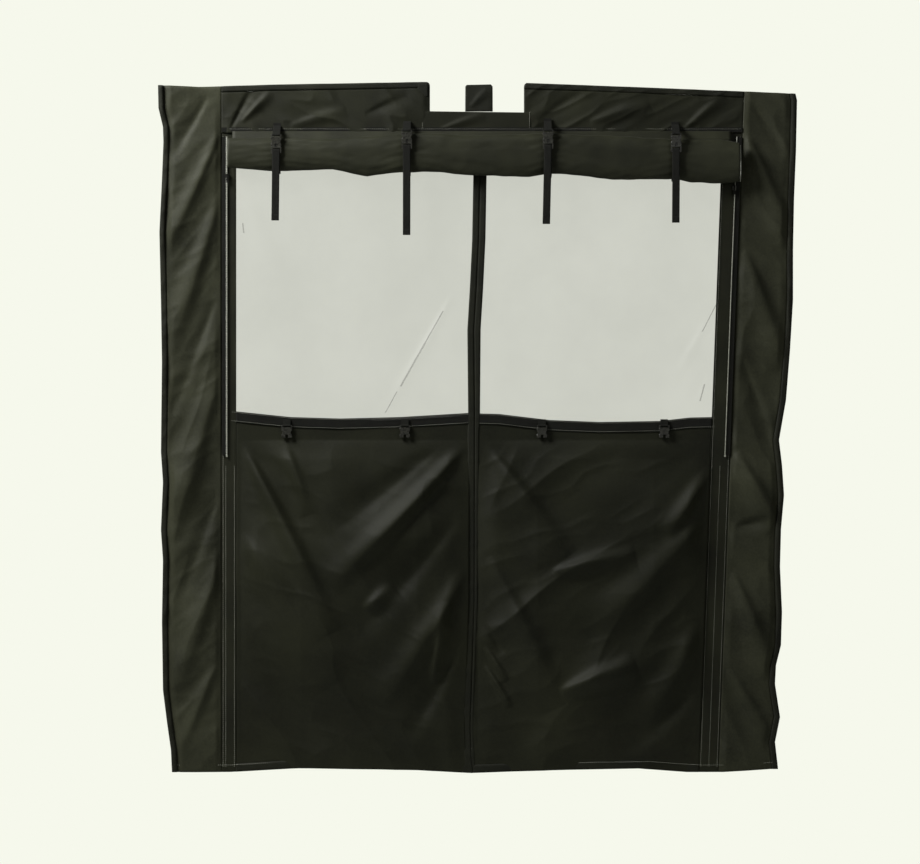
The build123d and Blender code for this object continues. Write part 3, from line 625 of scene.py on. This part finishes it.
# ---- rolled shade
roll = {"back": 0.0138, "depth": 0.0335, "rings": 360, "round": 56}
rollTop = [(-0.6675, -0.0454), (-0.5527, -0.0467), (-0.3711, -0.0467), (-0.2083, -0.0347),
           (-0.0988, -0.032), (-0.032, -0.0387), (0.0587, -0.036), (0.1789, -0.032), (0.3257, -0.0387),
           (0.4592, -0.0441), (0.5393, -0.0494), (0.6461, -0.0494), (0.6969, -0.0587)]
rollLow = [(-0.6675, -0.1255), (-0.5447, -0.1348), (-0.4539, -0.1322), (-0.3845, -0.1295),
           (-0.3311, -0.1415), (-0.2937, -0.1482), (-0.2056, -0.1378), (-0.1602, -0.1375),
           (-0.0988, -0.1378), (-0.0134, -0.1469), (0.1388, -0.1495), (0.1869, -0.1415), (0.2723, -0.1469),
           (0.3578, -0.1575), (0.4859, -0.1575), (0.526, -0.1549), (0.566, -0.1655), (0.6515, -0.1682),
           (0.6969, -0.1629)]
strapX = [-0.535, -0.188, 0.187, 0.527]
rollX = np.linspace(-0.664, 0.697, roll["rings"])
half = roll["depth"] / 2
points = []
for x in rollX:
    high, low = float(line(rollTop, x)), float(line(rollLow, x))
    pinch = sum(math.exp(-(((x - c) / 0.018) ** 2)) for c in strapX)
    for k in range(roll["round"]):
        a = 2 * math.pi * k / roll["round"]
        up, out = math.sin(a), math.cos(a)
        layer = 0.035 * ((a / (2 * math.pi) + 0.3) % 1.0)  # the outer edge of the rolled cloth is a step
        crease = noise.noise(Vector((x * 9 + up * 1.4, up * 2.2, out * 1.5))) * 0.11
        crease += noise.noise(Vector((x * 34 - up * 3.0, up * 3.5, 7.0))) * 0.05
        crease += sum(0.05 * math.exp(-((abs(x - c) / 0.07) ** 2)) * math.sin(18 * up + 60 * abs(x - c))
                      for c in strapX)
        size = 1 - 0.03 + layer + crease * (0.35 + 0.65 * (out > 0) * out)
        deep = half * (1 - 0.13 * min(1, pinch))
        wide = math.copysign(abs(out) ** 0.75, out)
        forward = max(-half, min(half - 0.0006, wide * deep * size))
        level = (high + low) / 2 + (high - low) / 2 * up * min(size, 1.02)
        points.append((x, -(roll["back"] + half + forward), level))
rounds, rings = roll["round"], roll["rings"]
faces = [(i * rounds + k, (i + 1) * rounds + k, (i + 1) * rounds + (k + 1) % rounds, i * rounds + (k + 1) % rounds)
         for i in range(rings - 1) for k in range(rounds)]
faces += [tuple(range(rounds)), tuple((rings - 1) * rounds + k for k in reversed(range(rounds)))]
rollCloth = fixNormals(meshObject("rolled_shade_cloth", points, faces, finish["shade_cloth"]))
place(rollCloth, "shade", ("shade_roll",))
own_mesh(rollCloth)

spirals = []
for x, spin in ((-0.6665, 1), (0.6995, -1)):  # the zip's other half shows as a spiral on each end of the roll
    high, low = float(line(rollTop, x)), float(line(rollLow, x))
    spirals.append([(x, -(roll["back"] + half + math.cos(a * spin) * 0.0165 * (1 - a / 40)),
                     (high + low) / 2 + math.sin(a * spin) * (high - low) / 2 * (1 - a / 40))
                    for a in np.linspace(0, 26, 200)])
endTeeth = rowOnPath("shade_end_zip_teeth", spirals, finish["zip_nylon"], 0.0030, 0.0019, 0.0026, 0.0014)
place(endTeeth, "shade", ("shade_edge_coils",))
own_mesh(endTeeth)

neckSpec = {"left": [(z, -0.654) for z in (-1, 1)], "right": [(z, 0.677) for z in (-1, 1)],
            "bottom": [(-1, -0.094), (1, -0.094)], "top": [(-1, -0.025), (1, -0.025)], "grid": (160, 60),
            "back": 0.0040, "thick": 0.0008, "ripple": 0.0003, "seed": 81,
            "extra": lambda x, z: 0.0082 * np.clip((-0.023 - z) / 0.023, 0, 1)}
neck = clothPiece("shade_hanging_sheet", neckSpec, finish["shade_cloth"])
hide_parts("shade_neck")
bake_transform(neck)
print("shade made")

# ---- straps: up behind the clip, round its bar and down as a tail
straps = [(-0.535, 0.012, 0.2657, -0.0025), (-0.188, 0.0, 0.3044, -0.0005), (0.187, 0.0, 0.2750, -0.0045),
          (0.527, 0.009, 0.2716, -0.0008)]  # x, how much lower the clip sits, length of the tail, sideways drift
rollUnder = [(-0.535, -0.134), (-0.188, -0.139), (0.187, -0.144), (0.527, -0.154)]
strapWide, strapThick, barTurn = 0.020, 0.0013, 0.0025
for number, (x, drop, tail, drift) in enumerate(straps, 1):
    bar = -0.0674 - drop
    under = float(line(rollUnder, x)) - 0.0046
    turn = [(x, 0.052 - barTurn * math.cos(a), bar + barTurn * math.sin(a)) for a in np.linspace(0, math.pi, 9)]
    fall = [(x + drift * t, 0.0545 - 0.0030 * t * t + 0.0012 * math.sin(5 * t), bar - (tail + bar) * t)
            for t in np.linspace(0, 1, 12)]
    endX, endDepth, _ = fall[-1]
    folded = [(endX, endDepth + 0.0015, -tail), (endX, endDepth + 0.0016, -tail + 0.016)]
    strapSpec = {"path": [(x, 0.0495, under)] + turn + fall + folded, "width": strapWide, "thick": strapThick,
                 "pitch": 0.0016}
    strap = band(f"strap_{number}_webbing", strapSpec, finish["webbing"])
    place(strap, f"clip_{number}", (f"strap_{number}",))
    rear = [(x, 0.0029, seamZ), (x, 0.0029, seamZ - 0.004), (x, 0.0113, seamZ - 0.023), (x, 0.0113, under),
            (x, 0.0120, under - 0.001), (x, 0.047, under - 0.001)]
    loop = band(f"strap_{number}_back", {"path": rear, "width": strapWide, "thick": strapThick}, finish["webbing"])
    place(loop, "surround", ("strap_backs",) if number == 1 else ())
    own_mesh(loop)
print("straps made")

# ---- stitching
def seam(side, out, z0, z1, depth):
    return [(float(coilX(side, z)) + sign[side] * out, -depth, z) for z in np.linspace(z0, z1, 30)]


def leafSeams(side):  # two along the waist webbing and one along the turned hem
    waist = [[(x, -0.0042, z - down) for x, z in waistTop[side]] for down in (0.003, 0.026)]
    return waist + [[(x, -0.0036, z + 0.019) for x, z in hemLine if x * sign[side] > 0.02]]


rows = {
    "surround": [seam("left", 0.003, -0.92, -1.72, 0.0014), seam("left", 0.010, -0.04, -1.72, 0.0014),
                 seam("left", -0.020, -0.92, -1.72, 0.0014), seam("right", 0.010, -0.04, -1.72, 0.0014),
                 seam("right", -0.012, -0.92, -1.72, 0.0014), seam("right", -0.034, -0.06, -1.72, 0.0014),
                 [(-0.66, -0.0046, -0.0190), (0.70, -0.0046, -0.0190)],
                 [(-0.147, -0.0030, -0.02), (-0.147, -0.0030, 0.024)],
                 [(0.139, -0.0030, -0.02), (0.139, -0.0030, 0.024)]],
    "left_leaf": leafSeams("left"),
    "right_leaf": leafSeams("right"),
}
for body, paths in rows.items():
    stitches = rowOnPath(f"{body}_stitches", paths, finish["thread"], 0.0052, 0.0030, 0.0011, 0.0009)
    place(stitches, body)
print("stitching made")

# ---- floor, backdrop, light and camera
pale = linear(246, 248, 236)
stageMat = bpy.data.materials.new("pale ground")
stageMat.use_nodes = True
tree = stageMat.node_tree
shader = tree.nodes["Principled BSDF"]
shader.inputs["Base Color"].default_value = linear(196, 198, 188)
shader.inputs["Roughness"].default_value = 0.9
corners = [(x, y, -2.25) for x, y in ((-5, -4), (5, -4), (5, 1.2), (-5, 1.2))]
floor = meshObject("floor", corners, [(0, 1, 2, 3)], stageMat, False)

world = bpy.data.worlds.new("studio")
bpy.context.scene.world = world
world.use_nodes = True
tree = world.node_tree
back = tree.nodes["Background"]
back.inputs["Color"].default_value = (1, 1, 1, 1)
back.inputs["Strength"].default_value = 0.13
seen = tree.nodes.new("ShaderNodeBackground")
seen.inputs["Color"].default_value = pale
seen.inputs["Strength"].default_value = 1.0
path = tree.nodes.new("ShaderNodeLightPath")
anySeen = tree.nodes.new("ShaderNodeMath")
anySeen.operation = "MAXIMUM"
mix = tree.nodes.new("ShaderNodeMixShader")
tree.links.new(path.outputs["Is Camera Ray"], anySeen.inputs[0])
tree.links.new(path.outputs["Is Transmission Ray"], anySeen.inputs[1])
tree.links.new(anySeen.outputs[0], mix.inputs[0])
tree.links.new(back.outputs[0], mix.inputs[1])
tree.links.new(seen.outputs[0], mix.inputs[2])
tree.links.new(mix.outputs[0], tree.nodes["World Output"].inputs["Surface"])


def areaLight(name, at, size, power, target=(0, 0, -0.85)):
    data = bpy.data.lights.new(name, "AREA")
    data.size = size
    data.energy = power
    obj = bpy.data.objects.new(name, data)
    obj.location = at
    obj.rotation_euler = (Vector(target) - Vector(at)).to_track_quat("-Z", "Y").to_euler()
    bpy.context.scene.collection.objects.link(obj)


areaLight("key", (-2.4, -1.25, 1.6), 1.3, 400)
areaLight("fill", (2.4, -3.4, 0.9), 2.2, 45)
areaLight("rim", (1.2, 3.4, 0.9), 2.2, 150)

view = {"distance": 9.0, "x": -0.0467, "z": -0.8277, "width": 2.4564}
camera = bpy.data.cameras.new("camera")
camera.sensor_width = 36
camera.lens = 36 * view["distance"] / view["width"]
camera.clip_end = 60
cameraObj = bpy.data.objects.new("camera", camera)
cameraObj.location = (view["x"], -view["distance"], view["z"])
cameraObj.rotation_euler = (math.pi / 2, 0, 0)
bpy.context.scene.collection.objects.link(cameraObj)
bpy.context.scene.camera = cameraObj
bpy.context.scene.view_settings.view_transform = "Standard"
